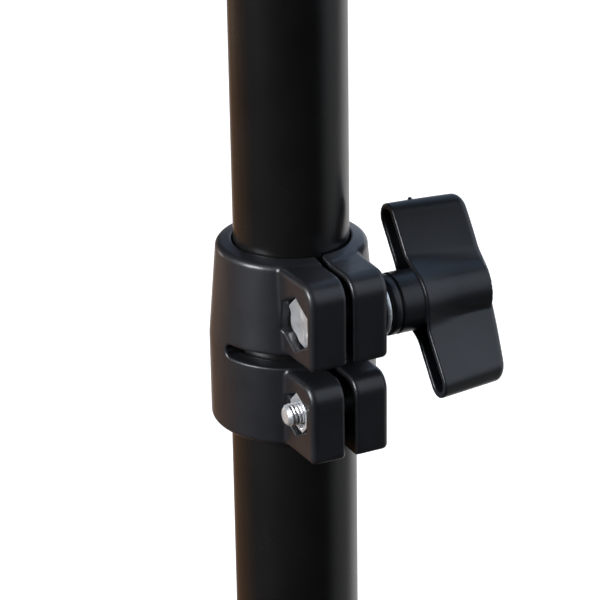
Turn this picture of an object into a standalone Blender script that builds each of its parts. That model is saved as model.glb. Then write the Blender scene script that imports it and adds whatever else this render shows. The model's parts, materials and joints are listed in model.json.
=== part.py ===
"""Music stand: a folding tripod, a telescopic mast with a wing-knob clamp, and a tilting desk.

Blender 4.5, metres, +Z up. The origin is the middle of the foot hub's flat underside, on the
floor. The desk faces -Y, so the player stands on the -Y side.
"""
import math

import bmesh
import bpy
from mathutils import Matrix, Vector

MM = 0.001
GAP = 0.3 * MM                      # space left between pieces that touch or nest

# ---- Mast -----------------------------------------------------------------------------
OUTER_TUBE_R = 14.0 * MM
OUTER_TUBE_WALL = 1.0 * MM
OUTER_TUBE_TOP = 620.0 * MM
INNER_TUBE_R = 12.7 * MM
INNER_TUBE_WALL = 1.2 * MM
INNER_TUBE_BOTTOM = 360.0 * MM
INNER_TUBE_TOP = 980.0 * MM
INNER_PLUG_LENGTH = 20.0 * MM
INNER_PLUG_FLANGE = 6.0 * MM
TUBE_STEPS = 40

# ---- Foot hub and folding legs --------------------------------------------------------
HUB_R = 17.5 * MM
HUB_TOP = 58.0 * MM
HUB_FLOOR = 10.0 * MM               # thickness under the outer tube
PIVOT_R = 29.0 * MM                 # leg and brace pivots, from the mast's axis
HUB_PIVOT_Z = 35.0 * MM
LINK = 160.0 * MM                   # pivot to brace pin, along the leg and along the brace
OPEN_ANGLE = math.radians(55.0)     # leg and brace from vertical, stand open
COLLAR_PIVOT_Z = HUB_PIVOT_Z + 2.0 * LINK * math.cos(OPEN_ANGLE)
LEG_R = 8.0 * MM
LEG_WALL = 1.2 * MM
LEG_TOP = 7.0 * MM                  # tube above its pivot
LEG_BOTTOM = -362.0 * MM            # tube end below its pivot, along the leg
FOOT_R = 11.5 * MM
FOOT_TOP = -328.0 * MM
FOOT_END = -374.0 * MM
LUG_HALF = 8.3 * MM                 # half width of the lugs, same as a leg's
LUG_END = 7.0 * MM
HUB_LUG_START = 15.0 * MM            # where the lugs begin, inside the hub's wall
EAR_START = 11.0 * MM
PIN_R = 2.5 * MM
RIVET_HEAD_R = 4.6 * MM
RIVET_HEAD = 1.6 * MM
EAR_INNER = 8.4 * MM
EAR_OUTER = 11.4 * MM
BRACE_INNER = 8.6 * MM
BRACE_OUTER = 10.1 * MM
BRACE_HALF_WIDTH = 7.0 * MM
BRACE_WEB_FROM = 14.0 * MM
BRACE_WEB_TO = 118.0 * MM
SLEEVE_R = 17.3 * MM
SLEEVE_BELOW = 24.0 * MM            # below the leg pivots
SLEEVE_ABOVE = 16.0 * MM
LEGS = {"back": 90.0, "left": 210.0, "right": 330.0}
SMALL_STEPS = 10
HEX = 6
BOSS_STEPS = 16
INSERT_STEPS = 20
ROUND_STEPS = 24
THROUGH = 20.0 * MM                 # half length of cutters that pass right through a part
SLEEVE_STEPS = 28

# ---- Mast clamp: collar, two bolts and the wing knob ----------------------------------
CLAMP_TOP = 642.0 * MM
CLAMP_STEPS = 44
UPPER_LOBE_H = 20.3 * MM
SLOT_H = 3.7 * MM
CLAMP_H = 42.1 * MM
CLAMP_TOP_R = 16.3 * MM
CLAMP_R = 18.2 * MM
CLAMP_RIM = 1.6 * MM                # rounding of the top and bottom rims
SLOT_REACH = 3.1 * MM               # the slot stops this far in front of the axis
EAR_HALF = 9.2 * MM                 # the ears' outer faces, across the mast
EAR_END = 27.6 * MM                 # the ears' ends, in front of the mast
EAR_TOP_DROP = 1.1 * MM
EAR_STEP = 0.2 * MM                 # the lower ears end this far above the collar's rim
SLOT_LEDGE = 0.05 * MM              # the slot is this much narrower than the gap between the ears
EAR_CORNER = 4.5 * MM
EAR_CORNER_LOW = 1.2 * MM
EAR_SPLIT_UPPER = 0.75 * MM
EAR_SPLIT_LOWER = 1.3 * MM
BOLT_REACH = 20.15 * MM             # bolt axes in front of the mast's axis
UPPER_BOLT_Z = CLAMP_TOP - 11.4 * MM
LOWER_BOLT_Z = CLAMP_TOP - 32.4 * MM
UPPER_POCKET_R = 6.4 * MM           # across corners / 2
UPPER_POCKET_DEPTH = 5.2 * MM
LOWER_POCKET_R = 5.2 * MM
LOWER_POCKET_DEPTH = 4.8 * MM
M6_R = 3.0 * MM
M5_R = 2.5 * MM
BOLT_HEAD_R = 5.77 * MM
BOLT_HEAD_H = 4.0 * MM
BOLT_HEAD_RECESS = 0.9 * MM
BOLT_END_X = 27.0 * MM
NUT_R = 4.62 * MM
NUT_H = 4.0 * MM
NUT_RECESS = 0.5 * MM
SCREW_STICKS_OUT = 3.4 * MM
SCREW_HEAD_R = 4.6 * MM
SCREW_HEAD_H = 3.2 * MM
SCREW_POCKET_R = 5.1 * MM           # the far lower ear swallows the screw's head
SCREW_HEAD_SUNK = 0.2 * MM
HEX_UP = math.radians(30.0)         # puts two of a hexagon's corners above and below the bolt
BOLT_TURN = math.radians(5.0)       # the head and the nut have turned against their pockets
WASHER_R = 6.6 * MM
WASHER_H = 1.1 * MM
WASHER_SEAT_R = 7.4 * MM

KNOB_NECK_FROM = 11.0 * MM          # from the mast's axis, along the bolt
KNOB_RIM = 18.95 * MM
KNOB_END = 36.0 * MM
KNOB_NECK_R = 7.0 * MM
KNOB_SPAN = 22.3 * MM               # half the wings' span at the rim
KNOB_WING_HALF = 3.7 * MM
KNOB_HUB_EXTRA = 3.2 * MM
KNOB_HUB_WIDTH = 4.6 * MM
KNOB_DRAFT = 0.94                   # outer end's size over the rim's
KNOB_WALL = 1.3 * MM
KNOB_TILT = math.radians(33.0)      # the wings' lean from upright
INSERT_R = 5.0 * MM
INSERT_H = 6.0 * MM

# ---- Round thumb knobs ----------------------------------------------------------------
THUMB_R = 12.5 * MM
THUMB_H = 14.0 * MM
THUMB_GRIPS = 6
THUMB_GRIP_R = 3.2 * MM
BOSS_R = 7.0 * MM
LEG_BOSS_END = 25.0 * MM
HEAD_BOSS_END = 23.0 * MM
THUMB_SCREW_HEAD = 9.0 * MM         # how far a thumb screw reaches into its knob

# ---- Head and desk --------------------------------------------------------------------
SOCKET_R = 16.5 * MM
SOCKET_BOTTOM = 948.0 * MM
SOCKET_ROOF = 986.0 * MM
SOCKET_TOP = 996.0 * MM
HEAD_SCREW_Z = 964.0 * MM
TILT_Z = 1018.0 * MM
TILT_EAR_INNER = 8.0 * MM
TILT_EAR_OUTER = 12.5 * MM
TILT_EAR_R = 11.0 * MM
TONGUE_HALF = 7.7 * MM
TILT_KNOB_X = 14.2 * MM
TILT_HEAD_H = 4.2 * MM
DESK_LEAN = math.radians(25.0)
DESK_WIDTH = 480.0 * MM
DESK_BOTTOM = -112.0 * MM           # along the desk, from the tilt bolt
DESK_TOP = 228.0 * MM
DESK_BACK = -22.0 * MM              # the panel's back face, in front of the tilt bolt
DESK_SHEET = 1.2 * MM
DESK_CORNER = 18.0 * MM
HOLE_R = 8.0 * MM
HOLE_PITCH = 48.0 * MM
HOLE_COLUMNS = 7
HOLE_ROWS = (96.0 * MM, 138.0 * MM, 180.0 * MM)
LEDGE_DEPTH = 48.0 * MM
LEDGE_LIP = 12.0 * MM
LEDGE_BACK = 16.0 * MM
BRACKET_HALF = 32.0 * MM
BRACKET_PLATE = 2.0 * MM
BRACKET_SCREW = 22.0 * MM
DESK_SCREW_R = 2.0 * MM
DESK_SCREW_HEAD_R = 4.2 * MM


# ---- Helpers --------------------------------------------------------------------------
def clear_scene():
    for obj in list(bpy.data.objects):
        bpy.data.objects.remove(obj)


def new_collection(name):
    group = bpy.data.collections.new(name)
    bpy.context.scene.collection.children.link(group)
    return group


def material(name, colour, roughness, metallic=0.0):
    made = bpy.data.materials.get(name)
    if made is None:
        made = bpy.data.materials.new(name)
        made.use_nodes = True
        shader = made.node_tree.nodes["Principled BSDF"]
        shader.inputs["Base Color"].default_value = (*colour, 1.0)
        shader.inputs["Roughness"].default_value = roughness
        shader.inputs["Metallic"].default_value = metallic
    return made


def black_paint():
    return ("black_paint", (0.012, 0.011, 0.011), 0.30)


def black_plastic():
    return ("black_plastic", (0.016, 0.016, 0.018), 0.45)


def knob_plastic():
    return ("knob_plastic", (0.012, 0.013, 0.015), 0.35)


def zinc():
    return ("zinc_plate", (0.72, 0.73, 0.75), 0.28, 1.0)


def rubber():
    return ("rubber", (0.02, 0.02, 0.02), 0.80)


def place(obj, name, look, matrix):
    """Name a solid, give it its own material and put it in the music stand's collection."""
    obj.name = name
    obj.data.name = name
    obj.data.materials.clear()
    obj.data.materials.append(material(look[0] + "_" + name, *look[1:]))
    obj.matrix_world = matrix
    PARTS.objects.link(obj)
    return obj


def as_cutter(obj, name, matrix):
    obj.name = name
    obj.matrix_world = matrix
    obj.hide_render = True
    obj.display_type = "WIRE"
    CUTTERS.objects.link(obj)
    return obj


def boolean(target, other, operation):
    step = target.modifiers.new(other.name, "BOOLEAN")
    step.operation = operation
    step.solver = "EXACT"
    step.object = other
    return target


def cut(target, *cutters):
    for cutter in cutters:
        boolean(target, cutter, "DIFFERENCE")
    return target


def join(target, *pieces):
    for piece in pieces:
        boolean(target, piece, "UNION")
    return target


def shade(obj, degrees=35.0):
    obj.data.shade_smooth()
    obj.data.set_sharp_from_angle(angle=math.radians(degrees))
    return obj


def box(low, high):
    """A box between two corners, as a mesh object that isn't placed yet."""
    low = Vector(low)
    high = Vector(high)
    bm = bmesh.new()
    size = high - low
    middle = (high + low) / 2.0
    bmesh.ops.create_cube(bm, size=1.0, matrix=Matrix.Translation(middle) @ Matrix.Diagonal((*size, 1.0)))
    mesh = bpy.data.meshes.new("box")
    bm.to_mesh(mesh)
    bm.free()
    return bpy.data.objects.new("box", mesh)


def rod(radius, low, high, steps=SMALL_STEPS, turn=0.0):
    """A cylinder or, with few steps, a prism along local Z between two heights."""
    bm = bmesh.new()
    spin = Matrix.Translation((0.0, 0.0, (low + high) / 2.0)) @ Matrix.Rotation(turn, 4, "Z")
    bmesh.ops.create_cone(bm, cap_ends=True, segments=steps, radius1=radius, radius2=radius,
                          depth=high - low, matrix=spin)
    mesh = bpy.data.meshes.new("rod")
    bm.to_mesh(mesh)
    bm.free()
    return bpy.data.objects.new("rod", mesh)


def turned(profile, steps=SMALL_STEPS, ring=False):
    """A profile of (radius, height) points, from the top down its outer side, turned about Z."""
    bm = bmesh.new()
    points = [bm.verts.new((radius, 0.0, height)) for radius, height in profile]
    for first, second in zip(points, points[1:]):
        bm.edges.new((first, second))
    if ring:
        bm.edges.new((points[-1], points[0]))
    mesh = bpy.data.meshes.new("turned")
    bm.to_mesh(mesh)
    bm.free()
    obj = bpy.data.objects.new("turned", mesh)
    screw = obj.modifiers.new("turn", "SCREW")
    screw.steps = steps
    screw.render_steps = steps
    screw.use_merge_vertices = True
    screw.merge_threshold = 0.00001
    screw.use_smooth_shade = True
    return obj


def hollow(outer, inner, low, high, steps=SMALL_STEPS):
    """A plain tube, open at both ends."""
    return turned([(outer, high), (outer, low), (inner, low), (inner, high)], steps, ring=True)


def rounded(corners, steps=4):
    """Outline points from (x, y, radius) corners, each corner an arc that touches both sides."""
    points = []
    count = len(corners)
    for index, (x, y, radius) in enumerate(corners):
        here = Vector((x, y))
        if radius <= 0.0:
            points.append(here)
            continue
        before = (Vector(corners[index - 1][:2]) - here).normalized()
        after = (Vector(corners[(index + 1) % count][:2]) - here).normalized()
        half = before.angle(after) / 2.0
        centre = here + (before + after).normalized() * (radius / math.sin(half))
        start = here + before * (radius / math.tan(half)) - centre
        sweep = start.angle_signed(here + after * (radius / math.tan(half)) - centre)
        for step in range(steps + 1):
            turn = -sweep * step / steps
            points.append(centre + Matrix.Rotation(turn, 2) @ start)
    return points


def plate(points, low, high):
    """A flat outline in local XY, made solid between two heights."""
    curve = bpy.data.curves.new("outline", "CURVE")
    curve.dimensions = "2D"
    curve.fill_mode = "BOTH"
    curve.extrude = (high - low) / 2.0
    line = curve.splines.new("POLY")
    line.points.add(len(points) - 1)
    for spot, point in zip(line.points, points):
        spot.co = (point[0], point[1], 0.0, 1.0)
    line.use_cyclic_u = True
    guide = bpy.data.objects.new("outline", curve)
    CUTTERS.objects.link(guide)
    evaluated = guide.evaluated_get(bpy.context.evaluated_depsgraph_get())
    mesh = bpy.data.meshes.new_from_object(evaluated)
    bpy.data.objects.remove(guide)
    bm = bmesh.new()
    bm.from_mesh(mesh)
    bmesh.ops.remove_doubles(bm, verts=bm.verts, dist=0.000001)
    bmesh.ops.translate(bm, verts=bm.verts, vec=(0.0, 0.0, (low + high) / 2.0))
    bmesh.ops.recalc_face_normals(bm, faces=bm.faces)
    bm.to_mesh(mesh)
    bm.free()
    return bpy.data.objects.new("plate", mesh)


def along(axis, centre=(0.0, 0.0, 0.0)):
    """A frame whose local Z lies along a world axis, with its origin at a point."""
    turn = Vector((0.0, 0.0, 1.0)).rotation_difference(Vector(axis))
    return Matrix.Translation(centre) @ turn.to_matrix().to_4x4()


def pivot(name, centre, parts):
    """Hang pieces that move together on an empty that sits on their joint's axis."""
    empty = bpy.data.objects.new(name, None)
    empty.location = centre
    PARTS.objects.link(empty)
    hold = Matrix.Translation(centre).inverted()
    for part in parts:
        world = part.matrix_world.copy()
        part.parent = empty
        part.matrix_parent_inverse = hold
        part.matrix_basis = world
    return empty


# ---- Mast -----------------------------------------------------------------------------
def make_tubes():
    outer = hollow(OUTER_TUBE_R, OUTER_TUBE_R - OUTER_TUBE_WALL, HUB_FLOOR + GAP, OUTER_TUBE_TOP,
                   TUBE_STEPS)
    place(outer, "outer_tube", black_paint(), Matrix())
    bore = INNER_TUBE_R - INNER_TUBE_WALL
    inner = place(hollow(INNER_TUBE_R, bore, INNER_TUBE_BOTTOM, INNER_TUBE_TOP, TUBE_STEPS),
                  "inner_tube", black_paint(), Matrix())
    flange = INNER_TUBE_BOTTOM - GAP
    stem = bore - GAP
    plug = turned([(0.0, flange + INNER_PLUG_LENGTH), (stem, flange + INNER_PLUG_LENGTH),
                   (stem, flange), (INNER_TUBE_R, flange),
                   (INNER_TUBE_R, flange - INNER_PLUG_FLANGE), (0.0, flange - INNER_PLUG_FLANGE)],
                  TUBE_STEPS // 2)
    place(plug, "inner_tube_plug", black_plastic(), Matrix())
    return [inner, plug]


# ---- Foot hub, braces and legs --------------------------------------------------------
def radial(angle, height):
    """The frame of a leg's pivot: local X outwards, local Y across the leg."""
    spin = Matrix.Rotation(math.radians(angle), 4, "Z")
    return spin @ Matrix.Translation((PIVOT_R, 0.0, height))


def across(frame):
    """A frame at the same place with local Z along the pivot pin."""
    return frame @ Matrix.Rotation(-math.pi / 2.0, 4, "X")


def make_rivet(name, frame, reach):
    """A rivet that runs right through a hinge, with a round head at each side."""
    head = reach + RIVET_HEAD
    crown = RIVET_HEAD_R * 0.7
    body = turned([(0.0, head), (crown, head), (RIVET_HEAD_R, reach), (PIN_R, reach), (PIN_R, -reach),
                   (RIVET_HEAD_R, -reach), (crown, -head), (0.0, -head)])
    return place(body, name, zinc(), across(frame))


def make_half_rivet(name, frame, side):
    """One side's rivet at the brace pin: a head outside the brace and a short stem in it."""
    reach = BRACE_OUTER + GAP
    head = reach + RIVET_HEAD
    body = turned([(0.0, head), (RIVET_HEAD_R * 0.7, head), (RIVET_HEAD_R, reach), (PIN_R, reach),
                   (PIN_R, BRACE_INNER), (0.0, BRACE_INNER)])
    turn = Matrix.Rotation(0.0 if side > 0 else math.pi, 4, "X")
    return place(body, name, zinc(), across(frame) @ turn)


def lug_outline(start):
    """A rounded tongue from a radius in the hub out past its pivot, in the pivot's own frame."""
    back = start - PIVOT_R
    return rounded([(back, -LUG_END, 0.0), (LUG_END, -LUG_END, LUG_END * 0.95),
                    (LUG_END, LUG_END, LUG_END * 0.95), (back, LUG_END, 0.0)], 3)


def pin_hole(name, frame, reach):
    return as_cutter(rod(PIN_R + GAP, -reach, reach), name, across(frame))


def make_foot_hub():
    profile = [(0.0, HUB_FLOOR), (OUTER_TUBE_R + GAP, HUB_FLOOR), (OUTER_TUBE_R + GAP, HUB_TOP),
               (HUB_R - 1.5 * MM, HUB_TOP), (HUB_R, HUB_TOP - 1.5 * MM), (HUB_R, 1.5 * MM),
               (HUB_R - 1.5 * MM, 0.0), (0.0, 0.0)]
    hub = place(turned(profile, SLEEVE_STEPS), "foot_hub", black_plastic(), Matrix())
    for name, angle in LEGS.items():
        frame = radial(angle, HUB_PIVOT_Z)
        lug = plate(lug_outline(HUB_LUG_START), -LUG_HALF, LUG_HALF)
        join(hub, as_cutter(lug, "hub_lug_" + name, across(frame)))
        cut(hub, pin_hole("hub_pin_" + name, frame, THROUGH))
        make_rivet("hub_rivet_" + name, frame, BRACE_OUTER + GAP)
    return hub


def make_leg_collar():
    low = COLLAR_PIVOT_Z - SLEEVE_BELOW
    high = COLLAR_PIVOT_Z + SLEEVE_ABOVE
    bore = OUTER_TUBE_R + GAP
    profile = [(0.0, high), (SLEEVE_R - 1.0 * MM, high), (SLEEVE_R, high - 1.0 * MM),
               (SLEEVE_R, low + 1.0 * MM), (SLEEVE_R - 1.0 * MM, low), (0.0, low)]
    collar = place(turned(profile, SLEEVE_STEPS), "leg_collar", black_plastic(), Matrix())
    rivets = []
    for name, angle in LEGS.items():
        frame = radial(angle, COLLAR_PIVOT_Z)
        for side in (-1, 1):
            low_y, high_y = sorted((side * EAR_INNER, side * EAR_OUTER))
            ear = plate(lug_outline(EAR_START), low_y, high_y)
            join(collar, as_cutter(ear, "collar_ear_%s_%d" % (name, side + 1), across(frame)))
        cut(collar, pin_hole("collar_pin_" + name, frame, THROUGH))
        rivets.append(make_rivet("leg_rivet_" + name, frame, EAR_OUTER + GAP))
    screw_z = COLLAR_PIVOT_Z - SLEEVE_BELOW + 12.0 * MM
    front = along((0.0, -1.0, 0.0), (0.0, 0.0, screw_z))
    boss = rod(BOSS_R, bore + 1.0 * MM, LEG_BOSS_END, BOSS_STEPS)
    join(collar, as_cutter(boss, "collar_boss", front))
    cut(collar,
        as_cutter(rod(bore, low - 1.0 * MM, high + 1.0 * MM, SLEEVE_STEPS), "leg_collar_bore", Matrix()),
        as_cutter(rod(M6_R + GAP, 5.0 * MM, LEG_BOSS_END + 5.0 * MM), "collar_screw_hole", front))
    return [collar] + rivets, front


def make_leg(name, angle):
    frame = radial(angle, COLLAR_PIVOT_Z) @ Matrix.Rotation(-OPEN_ANGLE, 4, "Y")
    bore = LEG_R - LEG_WALL
    tube = place(hollow(LEG_R, bore, LEG_BOTTOM, LEG_TOP, ROUND_STEPS), "leg_tube_" + name, black_paint(),
                 frame)
    cut(tube, pin_hole("leg_pin_" + name, frame, 12.0 * MM))
    rim = LEG_TOP + GAP
    plug = turned([(0.0, rim + 1.8 * MM), (LEG_R * 0.6, rim + 1.5 * MM), (LEG_R, rim), (bore - GAP, rim),
                   (bore - GAP, PIN_R + 2.0 * GAP), (0.0, PIN_R + 2.0 * GAP)], BOSS_STEPS)
    place(plug, "leg_plug_" + name, black_plastic(), frame)
    seat = LEG_BOTTOM - GAP
    foot = turned([(LEG_R + GAP, FOOT_TOP), (FOOT_R - 1.5 * MM, FOOT_TOP), (FOOT_R, FOOT_TOP - 2.0 * MM),
                   (FOOT_R, FOOT_END + 3.0 * MM), (FOOT_R - 3.0 * MM, FOOT_END), (0.0, FOOT_END),
                   (0.0, seat), (LEG_R + GAP, seat)], 20, ring=True)
    place(foot, "leg_foot_" + name, rubber(), frame)
    floor = as_cutter(box((-0.6, -0.6, -0.1), (0.6, 0.6, 0.0)), "floor_cut_" + name, Matrix())
    cut(foot, floor)
    return [tube, plug, foot]


def make_brace(name, angle):
    """A pressed steel channel that straddles the leg: two cheeks and the web on the mast side."""
    frame = radial(angle, HUB_PIVOT_Z) @ Matrix.Rotation(OPEN_ANGLE, 4, "Y")
    half = BRACE_HALF_WIDTH
    end = LINK + half
    cheek = rounded([(-half, -half, half * 0.95), (half, -half, half * 0.95),
                     (half, end, half * 0.95), (-half, end, half * 0.95)], 3)
    upright = frame @ Matrix.Rotation(math.pi / 2.0, 4, "X")
    first = place(plate(cheek, BRACE_INNER, BRACE_OUTER), "brace_" + name, black_paint(), upright)
    second = plate(cheek, -BRACE_OUTER, -BRACE_INNER)
    web = box((-half - 3.1 * MM, -BRACE_OUTER, BRACE_WEB_FROM),
              (-half - 1.6 * MM, BRACE_OUTER, BRACE_WEB_TO))
    join(first, as_cutter(second, "brace_cheek_" + name, upright))
    for side in (-1, 1):
        low_y, high_y = sorted((side * BRACE_INNER, side * BRACE_OUTER))
        flange = box((-half - 3.1 * MM, low_y, BRACE_WEB_FROM), (-half + 1.0 * MM, high_y, BRACE_WEB_TO))
        join(first, as_cutter(flange, "brace_flange_%s_%d" % (name, side + 1), frame))
    join(first, as_cutter(web, "brace_web_" + name, frame))
    cut(first, pin_hole("brace_hub_pin_" + name, frame, THROUGH))
    far = frame @ Matrix.Translation((0.0, 0.0, LINK))
    cut(first, pin_hole("brace_leg_pin_" + name, far, THROUGH))
    rivets = [make_half_rivet("brace_rivet_%s_%s" % (name, word), far, side)
              for word, side in (("near", 1), ("far", -1))]
    return [first] + rivets


# ---- Clamp ----------------------------------------------------------------------------
def ear_block(top, bottom):
    """The block of one pair of ears, rounded at its outer corners, along the mast's X."""
    outline = rounded([(-8.0 * MM, bottom, 0.0), (-EAR_END, bottom, EAR_CORNER_LOW),
                       (-EAR_END, top, EAR_CORNER), (-8.0 * MM, top, 0.0)], 5)
    return plate(outline, -EAR_HALF, EAR_HALF)


def make_clamp_collar():
    low = CLAMP_TOP - CLAMP_H
    upper_end = CLAMP_TOP - UPPER_LOBE_H
    slot_end = upper_end - SLOT_H
    tube_bore = INNER_TUBE_R + GAP
    wide_bore = OUTER_TUBE_R + GAP
    profile = [(0.0, CLAMP_TOP), (CLAMP_TOP_R - CLAMP_RIM, CLAMP_TOP),
               (CLAMP_TOP_R, CLAMP_TOP - CLAMP_RIM), (CLAMP_R, upper_end - SLOT_H / 2.0),
               (CLAMP_R, low + CLAMP_RIM),
               (CLAMP_R - CLAMP_RIM, low), (0.0, low)]
    collar = place(turned(profile, CLAMP_STEPS), "clamp_collar", black_plastic(), Matrix())
    sideways = Matrix(((0, 0, 1, 0), (1, 0, 0, 0), (0, 1, 0, 0), (0, 0, 0, 1)))
    upper = as_cutter(ear_block(CLAMP_TOP - EAR_TOP_DROP, upper_end), "upper_ears", sideways)
    lower = as_cutter(ear_block(slot_end, low + EAR_STEP), "lower_ears", sideways)
    join(collar, upper, lower)
    reach = 0.05
    cut(collar,
        as_cutter(rod(tube_bore, low - 1.0 * MM, CLAMP_TOP + 1.0 * MM, CLAMP_STEPS), "inner_bore",
                  Matrix()),
        as_cutter(rod(wide_bore, low - 2.0 * MM, upper_end - 1.0 * MM, CLAMP_STEPS), "outer_bore",
                  Matrix()),
        as_cutter(box((-reach, -reach, slot_end + SLOT_LEDGE),
                      (reach, -SLOT_REACH, upper_end - SLOT_LEDGE)), "slot", Matrix()),
        as_cutter(box((-EAR_SPLIT_UPPER, -reach, upper_end - 1.0 * MM),
                      (EAR_SPLIT_UPPER, -5.0 * MM, CLAMP_TOP + 1.0 * MM)), "upper_split", Matrix()),
        as_cutter(box((-EAR_SPLIT_LOWER, -reach, low - 1.0 * MM),
                      (EAR_SPLIT_LOWER, -5.0 * MM, slot_end + 1.0 * MM)), "lower_split", Matrix()))
    for height, hole, pocket, depth in ((UPPER_BOLT_Z, M6_R, UPPER_POCKET_R, UPPER_POCKET_DEPTH),
                                        (LOWER_BOLT_Z, M5_R, LOWER_POCKET_R, LOWER_POCKET_DEPTH)):
        bolt_line = along((1.0, 0.0, 0.0), (0.0, -BOLT_REACH, height))
        cut(collar,
            as_cutter(rod(hole + GAP, -THROUGH, THROUGH), "bolt_hole", bolt_line),
            as_cutter(rod(pocket, -THROUGH, depth - EAR_HALF, HEX, HEX_UP), "hex_pocket", bolt_line))
    floor = EAR_HALF - SCREW_HEAD_SUNK - SCREW_HEAD_H - GAP
    lower_line = along((1.0, 0.0, 0.0), (0.0, -BOLT_REACH, LOWER_BOLT_Z))
    cut(collar, seat_for_washer(),
        as_cutter(rod(SCREW_POCKET_R, floor, THROUGH, ROUND_STEPS), "screw_pocket", lower_line))
    return collar


def seat_for_washer():
    """A spot face on the far ears, so that the washer and the knob's neck clear the collar."""
    line = along((1.0, 0.0, 0.0), (0.0, -BOLT_REACH, UPPER_BOLT_Z))
    return as_cutter(rod(WASHER_SEAT_R, EAR_HALF, THROUGH, ROUND_STEPS), "washer_seat", line)


def make_clamp_fasteners():
    upper_line = along((1.0, 0.0, 0.0), (0.0, -BOLT_REACH, UPPER_BOLT_Z))
    face = -EAR_HALF + BOLT_HEAD_RECESS
    turned_hex = HEX_UP - BOLT_TURN
    bolt = place(rod(BOLT_HEAD_R, face, face + BOLT_HEAD_H, HEX, turned_hex), "clamp_bolt", zinc(),
                 upper_line)
    stem = rod(M6_R, face + BOLT_HEAD_H / 2.0, BOLT_END_X)
    join(bolt, as_cutter(stem, "clamp_bolt_stem", upper_line))
    washer = hollow(WASHER_R, M6_R + GAP, EAR_HALF + GAP, EAR_HALF + GAP + WASHER_H,
                    ROUND_STEPS)
    place(washer, "knob_washer", zinc(), upper_line)

    lower_line = along((1.0, 0.0, 0.0), (0.0, -BOLT_REACH, LOWER_BOLT_Z))
    nut_face = -EAR_HALF + NUT_RECESS
    nut = place(rod(NUT_R, nut_face, nut_face + NUT_H, HEX, turned_hex), "collar_nut", zinc(),
                lower_line)
    cut(nut, as_cutter(rod(M5_R + GAP, -THROUGH, THROUGH), "nut_hole", lower_line))
    head = EAR_HALF - SCREW_HEAD_SUNK - SCREW_HEAD_H
    tip = nut_face - SCREW_STICKS_OUT
    screw = turned([(0.0, head + SCREW_HEAD_H), (SCREW_HEAD_R * 0.7, head + SCREW_HEAD_H),
                    (SCREW_HEAD_R, head + SCREW_HEAD_H * 0.6), (SCREW_HEAD_R, head), (M5_R, head),
                    (M5_R, tip + 0.6 * MM), (M5_R - 0.6 * MM, tip), (0.0, tip)], BOSS_STEPS)
    place(screw, "collar_screw", zinc(), lower_line)


def wing_outline(scale=1.0, inset=0.0, count=20):
    """The wing knob's outline: two flat wings with round tips and a round hub between them."""
    points = []
    tip = KNOB_WING_HALF
    for side in (1, -1):
        for step in range(count + 1):
            along_wing = -side * math.cos(math.pi * step / count)
            u = along_wing * KNOB_SPAN
            hub = KNOB_HUB_EXTRA * math.exp(-(u / KNOB_HUB_WIDTH) ** 2)
            past = max(0.0, abs(u) - (KNOB_SPAN - tip)) / tip
            half = (KNOB_WING_HALF * math.sqrt(max(0.0, 1.0 - past * past))) + hub
            if step in (0, count):
                if side == 1:
                    points.append(Vector((u - math.copysign(inset, u), 0.0)) * scale)
                continue
            v = max(half - inset, 0.3 * MM)
            shrink = (KNOB_SPAN - inset) / KNOB_SPAN
            points.append(Vector((u * shrink, side * -v)) * scale)
    return points


def tapered(points, low, high, scale):
    """A plate whose far end is drawn in, as a moulded part's draft."""
    solid = plate(points, low, high)
    middle = (low + high) / 2.0
    for vertex in solid.data.vertices:
        if vertex.co.z > middle:
            vertex.co.x *= scale
            vertex.co.y *= scale
    return solid


def make_wing_knob():
    hub_line = Matrix.Translation((0.0, -BOLT_REACH, UPPER_BOLT_Z)) @ Matrix(
        ((0, 0, 1, 0), (1, 0, 0, 0), (0, 1, 0, 0), (0, 0, 0, 1)))
    lean = hub_line @ Matrix.Rotation(math.pi / 2.0 - KNOB_TILT, 4, "Z")
    knob = place(tapered(wing_outline(), KNOB_RIM, KNOB_END, KNOB_DRAFT), "wing_knob", knob_plastic(),
                 lean)
    hollow_part = tapered(wing_outline(inset=KNOB_WALL), KNOB_RIM - 5.0 * MM, KNOB_END - 2.0 * MM,
                          KNOB_DRAFT)
    cut(knob, as_cutter(hollow_part, "knob_hollow", lean))
    neck = turned([(0.0, KNOB_END - 1.0 * MM), (KNOB_NECK_R - 0.6 * MM, KNOB_END - 1.0 * MM),
                   (KNOB_NECK_R, KNOB_NECK_FROM + 1.0 * MM),
                   (KNOB_NECK_R - 1.0 * MM, KNOB_NECK_FROM), (0.0, KNOB_NECK_FROM)], ROUND_STEPS)
    join(knob, as_cutter(neck, "knob_neck", hub_line))
    seat = KNOB_NECK_FROM + INSERT_H + GAP
    cut(knob,
        as_cutter(rod(INSERT_R + GAP, 0.0, seat, INSERT_STEPS), "insert_seat", hub_line),
        as_cutter(rod(M6_R + GAP, 0.0, BOLT_END_X + 1.0 * MM), "knob_bore", hub_line))
    insert = place(hollow(INSERT_R, M6_R + GAP, KNOB_NECK_FROM, KNOB_NECK_FROM + INSERT_H,
                          INSERT_STEPS), "knob_insert", zinc(), hub_line)
    return [knob, insert]


# ---- Thumb knobs ----------------------------------------------------------------------
def make_thumb_knob(name, line, start):
    """A scalloped round knob along local Z of a frame, from a distance out."""
    end = start + THUMB_H
    profile = [(0.0, end), (THUMB_R * 0.7, end), (THUMB_R, end - 2.5 * MM), (THUMB_R, start + 4.0 * MM),
               (BOSS_R, start), (0.0, start)]
    knob = place(turned(profile, ROUND_STEPS), name, knob_plastic(), line)
    for index in range(THUMB_GRIPS):
        spin = Matrix.Rotation(2.0 * math.pi * index / THUMB_GRIPS, 4, "Z")
        groove = rod(THUMB_GRIP_R, start - 5.0 * MM, end + 5.0 * MM, 8)
        spot = line @ spin @ Matrix.Translation((THUMB_R + 1.4 * MM, 0.0, 0.0))
        cut(knob, as_cutter(groove, "%s_grip_%d" % (name, index), spot))
    return knob


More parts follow.
